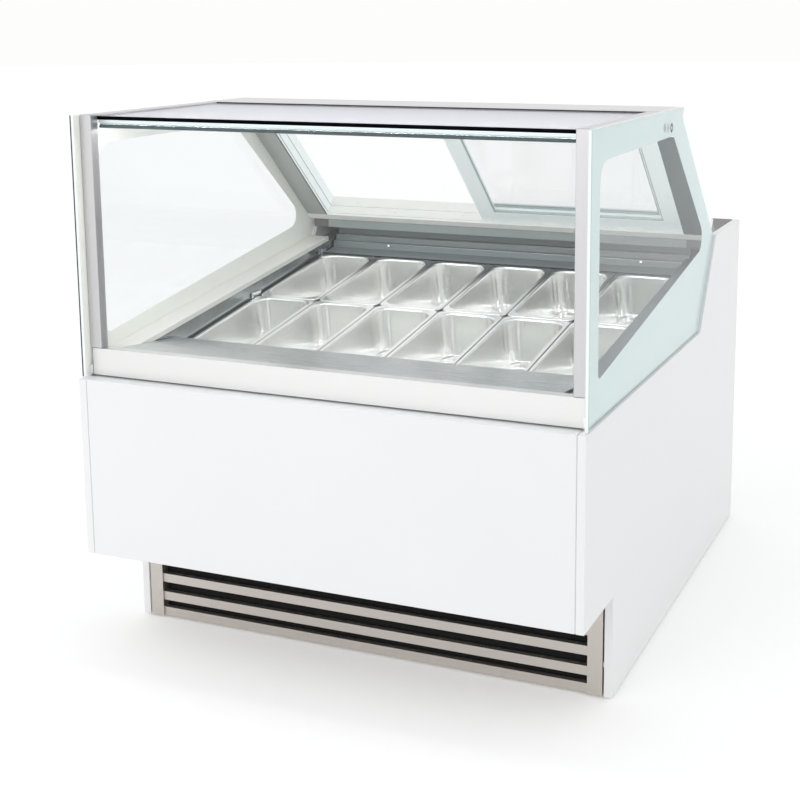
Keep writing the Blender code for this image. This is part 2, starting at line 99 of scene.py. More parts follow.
# ---------------------------------------------------------------- camera
def make_camera():
    """Three-quarter view from the customer's right, slightly above."""
    azimuth, elevation, roll = 0.3913, 0.1731, -0.0036
    data = bpy.data.cameras.new("camera")
    camera = bpy.data.objects.new("camera", data)
    bpy.context.scene.collection.objects.link(camera)
    back = Vector((math.sin(azimuth) * math.cos(elevation), -math.cos(azimuth) * math.cos(elevation),
                   math.sin(elevation)))
    aim = back.to_track_quat("Z", "Y").to_matrix().to_4x4()
    stand = Matrix.Translation((1.3130, -3.0867, 1.3833))
    camera.matrix_world = stand @ aim @ Matrix.Rotation(roll, 4, "Z")
    data.sensor_width = 36.0
    data.lens = 63.30
    data.shift_x = -0.0775
    data.shift_y = -0.1725
    bpy.context.scene.camera = camera


# ---------------------------------------------------------------- material nodes
class Nodes:
    """Small helper for one material's node tree."""

    def __init__(self, name):
        self.material = bpy.data.materials.new(name)
        self.material.use_nodes = True
        self.tree = self.material.node_tree
        self.shader = self.tree.nodes["Principled BSDF"]
        self.output = self.tree.nodes["Material Output"]
        self.coordinates = self.tree.nodes.new("ShaderNodeTexCoord").outputs["Object"]

    def new(self, kind, **values):
        node = self.tree.nodes.new(kind)
        for key, value in values.items():
            setattr(node, key, value)
        return node

    def link(self, source, target):
        self.tree.links.new(source, target)

    def stretch(self, scale):
        mapping = self.new("ShaderNodeMapping")
        self.link(self.coordinates, mapping.inputs["Vector"])
        mapping.inputs["Scale"].default_value = scale
        return mapping.outputs["Vector"]

    def noise(self, scale, detail=3.0, rough=0.5):
        node = self.new("ShaderNodeTexNoise")
        self.link(self.stretch(scale), node.inputs["Vector"])
        node.inputs["Scale"].default_value = 1.0
        node.inputs["Detail"].default_value = detail
        node.inputs["Roughness"].default_value = rough
        return node.outputs["Fac"]

    def ramp(self, factor, stops):
        node = self.new("ShaderNodeValToRGB")
        self.link(factor, node.inputs["Fac"])
        ramp = node.color_ramp
        while len(ramp.elements) < len(stops):
            ramp.elements.new(0.5)
        for element, (position, colour) in zip(ramp.elements, stops):
            element.position = position
            element.color = (*colour, 1.0)
        return node.outputs["Color"]

    def spread(self, factor, low, high, start=0.3, end=0.7):
        node = self.new("ShaderNodeMapRange")
        self.link(factor, node.inputs["Value"])
        node.inputs["From Min"].default_value = start
        node.inputs["From Max"].default_value = end
        node.inputs["To Min"].default_value = low
        node.inputs["To Max"].default_value = high
        return node.outputs["Result"]

    def bump(self, height, strength, distance):
        node = self.new("ShaderNodeBump")
        node.inputs["Strength"].default_value = strength
        node.inputs["Distance"].default_value = distance
        self.link(height, node.inputs["Height"])
        self.link(node.outputs["Normal"], self.shader.inputs["Normal"])

    def set(self, **values):
        for key, value in values.items():
            self.shader.inputs[key.replace("_", " ")].default_value = value


def paint(name, light, dark, rough=(0.26, 0.34), coat=0.25, painted_light_glow=0.0):
    """Powder coat with hardly visible clouding; its emission strength is painted light, lifting a face which
    the photograph shows brighter.
    """
    n = Nodes(name)
    clouds = n.noise((3.0, 3.0, 3.0), 4.0)
    n.link(n.ramp(clouds, [(0.30, dark), (0.70, light)]), n.shader.inputs["Base Color"])
    n.link(n.spread(clouds, *rough), n.shader.inputs["Roughness"])
    n.set(Coat_Weight=coat, Coat_Roughness=0.12, Emission_Color=(*light, 1.0), Emission_Strength=painted_light_glow)
    return n.material


def brushed(name, light, dark, grain, rough=(0.24, 0.36), bump=0.012):
    """Metal with a fine directional grain; grain is the noise scale along X, Y and Z."""
    n = Nodes(name)
    lines = n.noise(grain, 3.0, 0.6)
    clouds = n.noise((5.0, 5.0, 5.0), 3.0)
    n.link(n.ramp(lines, [(0.25, dark), (0.75, light)]), n.shader.inputs["Base Color"])
    mix = n.new("ShaderNodeMath", operation="ADD")
    n.link(n.spread(lines, rough[0], rough[1]), mix.inputs[0])
    n.link(n.spread(clouds, -0.03, 0.03), mix.inputs[1])
    n.link(mix.outputs[0], n.shader.inputs["Roughness"])
    n.set(Metallic=1.0)
    n.bump(lines, bump, 0.0002)
    return n.material


def satin(name, light, dark, rough):
    """Drawn or rolled metal without a visible grain."""
    n = Nodes(name)
    clouds = n.noise((7.0, 7.0, 7.0), 3.0)
    n.link(n.ramp(clouds, [(0.30, dark), (0.70, light)]), n.shader.inputs["Base Color"])
    n.link(n.spread(clouds, *rough), n.shader.inputs["Roughness"])
    n.set(Metallic=1.0)
    return n.material


def plastic(name, light, dark, rough=(0.38, 0.48), coat=0.0):
    """Moulded plastic or rubber with a fine even texture."""
    n = Nodes(name)
    clouds = n.noise((8.0, 8.0, 8.0), 3.0)
    n.link(n.ramp(clouds, [(0.30, dark), (0.70, light)]), n.shader.inputs["Base Color"])
    n.link(n.spread(clouds, *rough), n.shader.inputs["Roughness"])
    n.set(Coat_Weight=coat)
    n.bump(n.noise((260.0, 260.0, 260.0), 2.0), 0.06, 0.0003)
    return n.material


def glass(name, tint, mirror=(0.04, 0.92), rough=0.015, haze=None, haze_amount=0.0):
    """Flat glass that neither bends nor blocks light: clear face on, more mirror-like at a glancing angle.

    haze is the colour of a milky film on it, and haze_amount how much of the clear glass the film hides.
    """
    n = Nodes(name)
    n.tree.nodes.remove(n.shader)
    facing = n.new("ShaderNodeLayerWeight")
    facing.inputs["Blend"].default_value = 0.5
    power = n.new("ShaderNodeMath", operation="POWER")
    n.link(facing.outputs["Facing"], power.inputs[0])
    power.inputs[1].default_value = 5.0
    share = n.new("ShaderNodeMath", operation="MULTIPLY_ADD")
    n.link(power.outputs[0], share.inputs[0])
    share.inputs[1].default_value = mirror[1]
    share.inputs[2].default_value = mirror[0]
    smear = n.spread(n.noise((2.5, 2.5, 2.5), 2.0), rough, rough + 0.01)
    clear = n.new("ShaderNodeBsdfTransparent")
    clear.inputs["Color"].default_value = (*tint, 1.0)
    shine = n.new("ShaderNodeBsdfGlossy")
    n.link(smear, shine.inputs["Roughness"])
    shine.inputs["Color"].default_value = (0.98, 0.99, 1.0, 1.0)
    behind = clear.outputs[0]
    if haze is not None:
        film = n.new("ShaderNodeBsdfDiffuse")
        film.inputs["Color"].default_value = (*haze, 1.0)
        through = n.new("ShaderNodeBsdfTranslucent")
        through.inputs["Color"].default_value = (*haze, 1.0)
        milk = n.new("ShaderNodeMixShader")
        milk.inputs[0].default_value = 0.5
        n.link(film.outputs[0], milk.inputs[1])
        n.link(through.outputs[0], milk.inputs[2])
        veil = n.new("ShaderNodeMixShader")
        veil.inputs[0].default_value = haze_amount
        n.link(behind, veil.inputs[1])
        n.link(milk.outputs[0], veil.inputs[2])
        behind = veil.outputs[0]
    blend = n.new("ShaderNodeMixShader")
    n.link(share.outputs[0], blend.inputs[0])
    n.link(behind, blend.inputs[1])
    n.link(shine.outputs[0], blend.inputs[2])
    n.link(blend.outputs[0], n.output.inputs["Surface"])
    return n.material


def enamel(name, light, dark, rough=0.10, painted_light_glow=0.0):
    """Glossy print or edge seen through glass; its emission strength is painted light that brightens a face
    left in shade.
    """
    n = Nodes(name)
    clouds = n.noise((1.6, 1.6, 1.6), 3.0)
    n.link(n.ramp(clouds, [(0.30, dark), (0.70, light)]), n.shader.inputs["Base Color"])
    n.link(n.spread(clouds, rough, rough + 0.04), n.shader.inputs["Roughness"])
    n.set(Specular_IOR_Level=0.5, Emission_Color=(*light, 1.0), Emission_Strength=painted_light_glow)
    return n.material


def mesh_filter(name):
    """Black dust filter: a fine woven mesh."""
    n = Nodes(name)
    waves = []
    for axis in ("X", "Z"):
        wave = n.new("ShaderNodeTexWave", bands_direction=axis)
        n.link(n.coordinates, wave.inputs["Vector"])
        wave.inputs["Scale"].default_value = 90.0
        waves.append(wave.outputs["Fac"])
    weave = n.new("ShaderNodeMath", operation="MULTIPLY")
    n.link(waves[0], weave.inputs[0])
    n.link(waves[1], weave.inputs[1])
    n.link(n.ramp(weave.outputs[0], [(0.2, (0.012, 0.012, 0.013)), (0.9, (0.003, 0.003, 0.003))]),
           n.shader.inputs["Base Color"])
    n.set(Roughness=0.75, Specular_IOR_Level=0.2)
    n.bump(weave.outputs[0], 0.3, 0.0006)
    return n.material


def floor_material():
    """Pale seamless studio floor, lit a little from within so that it runs into the backdrop."""
    n = Nodes("studio_floor")
    clouds = n.noise((1.5, 1.5, 1.5), 2.0)
    n.link(n.ramp(clouds, [(0.3, (0.90, 0.90, 0.895)), (0.7, (0.91, 0.91, 0.905))]),
           n.shader.inputs["Base Color"])
    n.set(Roughness=0.7, Specular_IOR_Level=0.1, Emission_Color=(1.0, 1.0, 0.99, 1.0), Emission_Strength=0.15)
    return n.material


def matt_black():
    """Blacked-out edge of the top pane."""
    n = Nodes("dark_glass_edge")
    clouds = n.noise((6.0, 6.0, 6.0), 2.0)
    n.link(n.ramp(clouds, [(0.3, (0.002, 0.002, 0.003)), (0.7, (0.004, 0.004, 0.005))]),
           n.shader.inputs["Base Color"])
    n.set(Roughness=0.8, Specular_IOR_Level=0.0)
    return n.material


def lit_lens():
    """Milky diffuser with the strip light on behind it."""
    n = Nodes("milky_lens")
    clouds = n.noise((20.0, 20.0, 20.0), 2.0)
    n.link(n.ramp(clouds, [(0.3, (0.86, 0.87, 0.88)), (0.7, (0.90, 0.91, 0.92))]),
           n.shader.inputs["Base Color"])
    n.set(Roughness=0.4, Emission_Color=(1.0, 1.0, 0.985, 1.0), Emission_Strength=20.0)
    return n.material


def make_materials():
    """Every finish by a short name; along_x and along_z are the noise scales of a grain in that direction."""
    along_x = (6.0, 900.0, 900.0)
    along_z = (900.0, 900.0, 6.0)
    return {
        "white": paint("white_powder_coat", (0.785, 0.785, 0.793), (0.775, 0.775, 0.785), (0.30, 0.38), 0.1),
        "alu_x": brushed("satin_aluminium_rail", (0.78, 0.78, 0.775), (0.75, 0.75, 0.745), along_x,
                         (0.30, 0.38)),
        "alu_z": brushed("satin_aluminium_post", (0.60, 0.59, 0.605), (0.57, 0.56, 0.575), along_z,
                         (0.34, 0.44)),
        "grille": brushed("beige_anodised_grille", (0.60, 0.56, 0.525), (0.57, 0.53, 0.495), along_x,
                          (0.40, 0.50)),
        "steel": brushed("brushed_stainless", (0.66, 0.69, 0.70), (0.54, 0.57, 0.58), along_x, (0.22, 0.34)),
        # riser steel as a flat dark paint: painted shade on the stainless riser in its recess under the
        # track; the pan rails take it too
        "riser": paint("riser_steel_painted_shade", (0.245, 0.285, 0.290), (0.225, 0.265, 0.270), (0.34, 0.42), 0.0),
        # paler copy of the riser steel: painted light on the riser's lit top band
        "apron": paint("apron_steel_painted_light", (0.33, 0.37, 0.37), (0.31, 0.35, 0.35), (0.34, 0.42), 0.0),
        # liner steel darkened in its base colour: painted shade on the tub walls inside the case
        "tub": satin("tub_liner_steel", (0.40, 0.44, 0.45), (0.37, 0.41, 0.42), (0.18, 0.24)),
        # pan stainless with its base raised almost to white: partly the steel's own colour, partly painted
        # light making up for light the pans lack
        "pan": satin("pan_stainless", (0.965, 0.970, 0.955), (0.935, 0.940, 0.925), (0.19, 0.24)),
        # dark copy of the side trim for the right cap: painted shade on its shaded side
        "right_cap_painted_shade": satin("side_trim_painted_shade", (0.22, 0.245, 0.26), (0.18, 0.205, 0.22), (0.30, 0.40)),
        # darker copies of the frame paint for the jambs' inner faces: painted shade, mid grey on the left
        # jamb, near black on the right
        "jamb_painted_shade": paint("jamb_face_painted_shade", (0.38, 0.40, 0.385), (0.36, 0.38, 0.365), (0.35, 0.45), 0.0),
        "jamb_painted_deep_shade": paint("jamb_face_painted_deep_shade", (0.050, 0.080, 0.090), (0.038, 0.064, 0.073), (0.40, 0.50),
                            0.0),
        "edge_white": enamel("polished_glass_edge", (0.88, 0.91, 0.91), (0.85, 0.88, 0.88), 0.25),
        "seal": enamel("door_seal", (0.46, 0.57, 0.565), (0.42, 0.53, 0.525), 0.30),
        "galvanised": brushed("galvanised_sheet", (0.10, 0.10, 0.10), (0.06, 0.06, 0.06), (60.0, 60.0, 60.0),
                              (0.4, 0.55)),
        # the trim's small emission is painted light
        "ivory": paint("ivory_trim", (0.78, 0.79, 0.735), (0.76, 0.77, 0.715), (0.30, 0.38), 0.1, 0.05),
        "greige": paint("rear_top_paint", (0.73, 0.71, 0.71), (0.71, 0.69, 0.69), (0.38, 0.45), 0.0),
        # the frame paint's emission is painted light, lifting the door frames, top track and jambs
        "frame": paint("door_frame_paint", (0.84, 0.90, 0.895), (0.82, 0.88, 0.875), (0.25, 0.33), 0.15,
                       0.20),
        "cover": paint("side_cover_paint", (0.66, 0.64, 0.65), (0.64, 0.62, 0.63), (0.38, 0.45), 0.0),
        # the track's emission is painted light
        "track": paint("track_ivory", (0.80, 0.81, 0.78), (0.78, 0.79, 0.76), (0.28, 0.36), 0.1, 0.10),
        "counter": paint("dark_work_surface", (0.165, 0.158, 0.145), (0.145, 0.138, 0.128), (0.40, 0.50),
                         0.0),
        "glass": glass("clear_glass", (0.985, 0.987, 0.987), (0.030, 0.50)),
        "side": glass("side_glass", (0.975, 0.982, 0.982), (0.025, 0.40)),
        "top": glass("top_glass", (0.95, 0.955, 0.985), (0.05, 0.50), 0.03, (0.93, 0.92, 0.985), 0.60),
        "mint": enamel("mint_print", (0.665, 0.80, 0.785), (0.63, 0.765, 0.75)),
        # the inner side of the print is real cream print; its emission is painted light on a face in shade
        "cream": enamel("print_inner_side", (0.85, 0.87, 0.815), (0.83, 0.85, 0.795), 0.30, 0.08),
        "black_edge": matt_black(),
        # near-black teal used for painted dark lines: the refraction line at the left glass's front edge and
        # the shade under the lamp housing
        "painted_dark_teal": enamel("teal_painted_dark_line", (0.020, 0.050, 0.056), (0.014, 0.038, 0.044), 0.35),
        "pale_edge": enamel("pale_glass_edge", (0.80, 0.89, 0.88), (0.74, 0.85, 0.84)),
        "lamp": satin("lamp_housing", (0.86, 0.95, 0.96), (0.84, 0.93, 0.94), (0.30, 0.36)),
        "lens": lit_lens(),
        "chrome": brushed("polished_chrome", (0.86, 0.87, 0.88), (0.80, 0.81, 0.82), (200.0, 200.0, 200.0),
                          (0.05, 0.10), 0.01),
        "black": plastic("black_plastic", (0.020, 0.020, 0.022), (0.012, 0.012, 0.013)),
        "rubber": plastic("grey_rubber", (0.05, 0.05, 0.052), (0.035, 0.035, 0.036), (0.6, 0.75)),
        # dark rubber colour, also laid under the gaps between the pans as painted shade
        "gasket_and_shade": plastic("dark_gasket", (0.030, 0.030, 0.034), (0.018, 0.018, 0.020), (0.5, 0.65)),
        "coil": brushed("finned_coil", (0.30, 0.28, 0.26), (0.10, 0.095, 0.09), (500.0, 4.0, 4.0),
                        (0.35, 0.5)),
        "compressor": paint("compressor_paint", (0.022, 0.022, 0.024), (0.014, 0.014, 0.015)),
        "green": plastic("switch_green", (0.05, 0.42, 0.14), (0.04, 0.36, 0.12), (0.25, 0.32), coat=0.5),
        "filter": mesh_filter("dust_filter"),
        "floor": floor_material(),
    }


# ---------------------------------------------------------------- mesh helpers
def mesh_object(name, verts, faces, materials, indexes=None):
    """Linked object from mesh data; without indexes every face takes the first material."""
    mesh = bpy.data.meshes.new(name)
    mesh.from_pydata([tuple(v) for v in verts], [], faces)
    mesh.update()
    for material in materials:
        mesh.materials.append(material)
    if indexes is not None:
        mesh.polygons.foreach_set("material_index", indexes)
    obj = bpy.data.objects.new(name, mesh)
    bpy.context.scene.collection.objects.link(obj)
    return obj


def loft(name, rings, materials):
    """Closed solid through rings of equal length, with a flat cap at each end."""
    count = len(rings[0])
    verts = [p for ring in rings for p in ring]
    faces = []
    for r in range(len(rings) - 1):
        for i in range(count):
            j = (i + 1) % count
            faces.append((r * count + i, r * count + j, (r + 1) * count + j, (r + 1) * count + i))
    faces.append(tuple(reversed(range(count))))
    faces.append(tuple(range((len(rings) - 1) * count, len(rings) * count)))
    return mesh_object(name, verts, faces, materials)


def signed_area(points):
    """Area of a polygon, positive where its points run anticlockwise."""
    return sum(a[0] * b[1] - b[0] * a[1] for a, b in zip(points, points[1:] + points[:1])) / 2


def prism_x(name, outline, x0, x1, materials):
    """Solid with a (y, z) outline, drawn out along X."""
    outline = [tuple(p) for p in outline]
    if signed_area(outline) < 0:
        outline.reverse()
    return loft(name, [[(x, y, z) for y, z in outline] for x in (x0, x1)], materials)


def block(name, low, high, material):
    """Rectangular solid between two corners."""
    outline = [(low[1], low[2]), (high[1], low[2]), (high[1], high[2]), (low[1], high[2])]
    return prism_x(name, outline, low[0], high[0], [material])


def bevel(obj, width, segments=2):
    mod = obj.modifiers.new("edge", "BEVEL")
    mod.width = width
    mod.segments = segments
    mod.limit_method = "ANGLE"
    mod.angle_limit = math.radians(35)
    return obj


def smooth(obj, angle=40):
    obj.data.shade_smooth()
    obj.data.set_sharp_from_angle(angle=math.radians(angle))
    return obj


def rounded_rectangle(half_x, half_y, radius, steps=8):
    """Points round a rectangle about the origin, anticlockwise."""
    points = []
    for cx, cy, start in ((1, 1, 0), (-1, 1, 90), (-1, -1, 180), (1, -1, 270)):
        for i in range(steps + 1):
            a = math.radians(start + 90 * i / steps)
            points.append((cx * (half_x - radius) + radius * math.cos(a),
                           cy * (half_y - radius) + radius * math.sin(a)))
    return points


def round_corners(points, radii, steps=8):
    """Rounds each corner of a polygon by its own radius."""
    result = []
    for k, (point, radius) in enumerate(zip(points, radii)):
        here = Vector(point)
        before = (Vector(points[k - 1]) - here).normalized()
        after = (Vector(points[(k + 1) % len(points)]) - here).normalized()
        if radius <= 0:
            result.append(tuple(here))
            continue
        half = before.angle(after) / 2
        reach = radius / math.tan(half)
        centre = here + (before + after).normalized() * (radius / math.sin(half))
        start, end = here + before * reach - centre, here + after * reach - centre
        turn = start.angle_signed(end)
        for i in range(steps + 1):
            spin = Matrix.Rotation(-turn * i / steps, 2)
            result.append(tuple(centre + spin @ start))
    return result


def turned(name, profile, centre, axis, material, sides=28):
    """Turned solid: profile is a list of (radius, height) and axis the direction of its height."""
    rings = []
    for radius, height in profile:
        rings.append([(radius * math.cos(2 * math.pi * i / sides), radius * math.sin(2 * math.pi * i / sides),
                       height) for i in range(sides)])
    obj = loft(name, rings, [material])
    aim = Vector(axis).normalized().to_track_quat("Z", "Y").to_matrix().to_4x4()
    obj.data.transform(Matrix.Translation(centre) @ aim)
    return smooth(obj)


def ring_plate(name, outer, inner, x_in, x_out, materials):
    """Flat plate in a plane of constant x with one window; the face at x_out takes the first material."""
    if signed_area(outer) < 0:
        outer = outer[::-1]
    if signed_area(inner) < 0:
        inner = inner[::-1]
    points = outer + inner
    triangles = tessellate_polygon([[Vector((y, z, 0)) for y, z in outer],
                                    [Vector((y, z, 0)) for y, z in inner]])
    verts = [(x_out, y, z) for y, z in points] + [(x_in, y, z) for y, z in points]
    total, count = len(points), len(outer)
    facing_right = x_out > x_in
    faces, indexes = [], []
    for a, b, c in triangles:
        pa, pb, pc = points[a], points[b], points[c]
        if signed_area([pa, pb, pc]) < 0:
            b, c = c, b
        near, far = (a, b, c), (a + total, c + total, b + total)
        faces += [near, far] if facing_right else [near[::-1], far[::-1]]
        indexes += [0, 1]
    for start, size, outward in ((0, count, True), (count, total - count, False)):
        for i in range(size):
            j = (i + 1) % size
            quad = (start + i, start + i + total, start + j + total, start + j)
            faces.append(quad if outward == facing_right else quad[::-1])
            indexes.append(2)
    return mesh_object(name, verts, faces, materials, indexes)


def place(obj, body, node=None):
    """Fixes a piece to a body, in place of a node where one is named."""
    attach(obj, body)
    if node is not None:
        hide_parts(node)
    return obj


# ---------------------------------------------------------------- pieces
def finish_cad_nodes(mats):
    """Procedural finishes for the frame's own nodes, with pale front and top edges on the side glass."""
    finishes = {
        "white": ["side_panel_left", "side_panel_right", "front_panel", "back_panel"],
        "alu_x": ["front_rail"],
        "alu_z": ["front_post_left", "front_post_right"],
        "grille": ["kick_grille"],
        "steel": ["front_ledge", "drain_spout"],
        "riser": ["back_step_panel", "pan_rail_front", "pan_rail_middle", "pan_rail_rear"],
        "tub": ["insulated_tub"],
        "galvanised": ["base_tray"],
        "ivory": ["side_cap_left"],
        # the right cap takes the dark copy of the trim as painted shade
        "right_cap_painted_shade": ["side_cap_right"],
        "greige": ["top_rear_panel"],
        "frame": ["door_left_frame", "door_right_frame", "door_track_top"],
        "track": ["door_track_bottom"],
        "counter": ["counter_top"],
        "glass": ["door_left_glass", "door_right_glass"],
        "side": ["side_glass_left", "side_glass_right"],
        "chrome": ["front_hinge_left", "front_hinge_right"],
        "black": ["control_panel", "power_inlet", "condenser_fan"],
        "green": ["power_switch"],
        "rubber": ["foot_front_left", "foot_front_right", "foot_back_left", "foot_back_right"],
        "coil": ["condenser", "evaporator"],
        "compressor": ["compressor"],
    }
    for key, names in finishes.items():
        for name in names:
            node = nodes[name]
            node.data.materials.clear()
            node.data.materials.append(mats[key])
    for _, word in SIDES:
        mesh = nodes[f"side_glass_{word}"].data
        mesh.materials.append(mats["edge_white"])
        for polygon in mesh.polygons:
            if polygon.normal.y < -0.9 or polygon.normal.z > 0.9:
                polygon.material_index = 1


def pan_pieces(mats):
    """Deep-drawn pans: rolled outer edge, crisp inner rim, tapered walls and a stepped floor."""
    low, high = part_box("pan_front_1")
    hx, hy = (high.x - low.x) / 2 - PAN_PLAY, PAN_LENGTH / 2 - PAN_PLAY
    wall, floor = 0.0010, -PAN_DEPTH
    # each ring: half width, half length, corner radius, height
    inside = [
        (hx - 0.034, hy - 0.040, 0.018, floor),
        (hx - 0.0285, hy - 0.034, 0.022, floor + 0.0008),
        (hx - 0.0255, hy - 0.031, 0.025, floor + 0.0040),
        (hx - 0.0245, hy - 0.030, 0.026, floor + 0.0090),
        (hx - 0.0240, hy - 0.0295, 0.026, floor + 0.0135),
        (hx - 0.0230, hy - 0.0285, 0.027, floor + 0.0152),
        (hx - 0.0195, hy - 0.0250, 0.029, floor + 0.0158),
        (hx - 0.0182, hy - 0.0237, 0.030, floor + 0.0175),
        (hx - 0.0172, hy - 0.0225, 0.031, floor + 0.0240),
        (hx - 0.0125, hy - 0.0165, 0.034, floor + 0.0700),
        (hx - 0.0097, hy - 0.0125, 0.036, -0.0060),
        (hx - 0.0092, hy - 0.0119, 0.0365, -0.0025),
        (hx - 0.0082, hy - 0.0108, 0.037, -0.0006),
        (hx - 0.0072, hy - 0.0098, 0.037, 0.0),
        (hx - 0.0062, hy - 0.0088, 0.035, -0.0004),
        (hx - 0.0050, hy - 0.0070, 0.026, -0.0009),
        (hx - 0.0030, hy - 0.0040, 0.019, -0.0007),
        (hx - 0.0014, hy - 0.0014, 0.0155, 0.0),
        (hx - 0.0005, hy - 0.0005, 0.0158, -0.0006),
        (hx, hy, 0.016, -0.0020),
        (hx, hy, 0.016, -0.0038),
        (hx - 0.0006, hy - 0.0006, 0.0155, -0.0044),
    ]
    outside = [
        (hx - 0.0014, hy - 0.0014, 0.015, -0.0040),
        (hx - 0.0016, hy - 0.0016, 0.015, -0.0022),
        (hx - 0.0086 + wall, hy - 0.0113 + wall, 0.037 + wall, -0.0024),
        (hx - 0.0172 + wall, hy - 0.0225 + wall, 0.031 + wall, floor + 0.0240),
        (hx - 0.0225 + wall, hy - 0.0280 + wall, 0.028, floor + 0.0045),
        (hx - 0.034, hy - 0.040, 0.018, floor - wall),
    ]
    rings = []
    for sx, sy, radius, z in inside + outside:
        rings.append([(x, y, z) for x, y in rounded_rectangle(sx, sy, radius)])
    pattern = loft("pan_pattern", rings[::-1], [mats["pan"]])
    smooth(pattern, 55)
    for row, sign in (("front", -1), ("rear", 1)):
        for i in range(PANS_PER_ROW):
            name = f"pan_{row}_{i + 1}"
            low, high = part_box(name)
            y, z = deck_point(sign * (hy + ROW_GAP), 0.0)
            pan = bpy.data.objects.new(f"{name}_drawn", pattern.data)
            bpy.context.scene.collection.objects.link(pan)
            pan.location = ((low.x + high.x) / 2, y, z)
            pan.rotation_euler = (DECK_ANGLE, 0.0, 0.0)
            place(pan, name, name)
    bpy.data.objects.remove(pattern, do_unlink=True)


def printed_borders(mats):
    """Printed border with a clear window on the inner face of each side glass, and its front edge line."""
    top_z, front_y, set_in = 1.1812, -0.6712, -0.0012
    outer = [(front_y, PRINT_FOOT_Z), (0.2435, PRINT_FOOT_Z), tuple(slope_point(0.5115, set_in)),
             tuple(slope_point(0.0010, set_in)), (front_y, top_z)]
    window = [(-0.5930, 1.1170), (-0.5910, 0.6990), (0.3140, 0.8290), (-0.0400, 1.1215)]
    inner = round_corners(window, [0.042, 0.013, 0.034, 0.0])
    for side, word in SIDES:
        plate = ring_plate(f"side_print_{word}", outer, inner, side * PRINT_X[0], side * PRINT_X[1],
                           [mats["mint"], mats["cream"], mats["pale_edge"]])
        place(plate, "cabinet")
        # on the left the line is near-black teal, painted refraction along the glass's outer front edge
        width, finish = (0.0028, "painted_dark_teal") if side < 0 else (0.0012, "seal")
        x0, x1 = sorted((side * (HALF_W - 0.0001), side * (HALF_W - width)))
        line = block(f"side_edge_line_{word}", (x0, -0.6728, PRINT_FOOT_Z), (x1, -0.6722, 1.1815),
                     mats[finish])
        place(bevel(line, 0.0001, 1), "cabinet")


def glass_bolts(mats):
    """Chrome bolt through each side glass, with a dark washer ring and a small cap outside."""
    shank = [(0.0, 0.0), (0.0075, 0.0), (0.009, 0.0012), (0.009, 0.0095), (0.0080, 0.0118), (0.0035, 0.012),
             (0.0030, 0.0105), (0.0, 0.0105)]
    ring = [(0.0040, 0.0), (0.0105, 0.0), (0.0105, 0.0003), (0.0098, 0.0005), (0.0046, 0.0005),
            (0.0040, 0.0003)]
    button = [(0.0, 0.0), (0.0042, 0.0), (0.0042, 0.0003), (0.0030, 0.0005), (0.0, 0.0006)]
    for side, word in SIDES:
        low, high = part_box(f"glass_bolt_{word}")
        centre = (low + high) / 2
        inner_end = (low.x if side > 0 else high.x, centre.y, centre.z)
        seat = (side * BOLT_SEAT_X, centre.y, centre.z)
        outward = (side, 0, 0)
        nut = turned(f"glass_bolt_nut_{word}", shank, inner_end, outward, mats["chrome"])
        place(nut, "cabinet", f"glass_bolt_{word}")
        washer = turned(f"glass_bolt_washer_{word}", ring, seat, outward, mats["gasket_and_shade"])
        place(washer, "cabinet")
        cap = turned(f"glass_bolt_cap_{word}", button, seat, outward, mats["chrome"])
        place(cap, "cabinet")


def pane(name, node, body, mats, face, edge, edge_faces):
    """Glass slab filling a CAD pane's box; edge_faces are the directions whose faces take the edge finish."""
    low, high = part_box(node)
    obj = block(name, low, high, mats[face])
    obj.data.materials.append(mats[edge])
    for polygon in obj.data.polygons:
        if any(polygon.normal.dot(Vector(d)) > 0.9 for d in edge_faces):
            polygon.material_index = 1
    bevel(obj, 0.0006, 2)
    return place(obj, body, node)


def panes(mats):
    """Top pane with blacked-out edges and front pane with a pale top edge."""
    pane("top_pane", "top_glass", "cabinet", mats, "top", "black_edge",
         [(0, -1, 0), (0, 1, 0), (1, 0, 0), (-1, 0, 0)])
    pane("front_pane", "front_glass", "front_frame", mats, "glass", "pale_edge", [(0, 0, 1)])


def lamp(mats):
    """Light housing behind the front pane's top edge: pale curved front, dark lower lip painted as the shade
    under it, milky lens below.
    """
    low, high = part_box("light_bar")
    lip, nose, steps = 0.0078, 0.005, 12
    lip_z = low.z + lip
    curve = []
    for i in range(steps + 1):
        a = math.radians(90 * i / steps)
        curve.append((low.y + nose * (1 - math.sin(a)), lip_z + (high.z - low.z - lip) * (1 - math.cos(a))))
    outline = [(high.y, high.z), (high.y, lip_z)] + curve
    housing = smooth(prism_x("lamp_housing", outline, low.x, high.x, [mats["lamp"]]), 50)
    place(housing, "cabinet", "light_bar")
    # dark lip: painted shade along the underside of the housing
    dark = [(low.y + nose + 0.0005, lip_z - 0.0002), (low.y + 0.0015, low.z + 0.0035),
            (low.y + 0.0025, low.z + 0.0008), (low.y + 0.0050, low.z), (low.y + 0.0070, low.z),
            (low.y + 0.0070, lip_z - 0.0002)]
    place(prism_x("lamp_lip", dark, low.x, high.x, [mats["painted_dark_teal"]]), "cabinet")
    lens = block("lamp_lens", (low.x + 0.004, low.y + 0.0074, low.z + 0.001),
                 (high.x - 0.004, high.y - 0.001, lip_z - 0.0004), mats["lens"])
    place(bevel(lens, 0.0005), "cabinet")


def slope_ring(points, s):
    """A section of (x, d) points set across the rear slope at s."""
    return [(x, *slope_point(s, d)) for x, d in points]


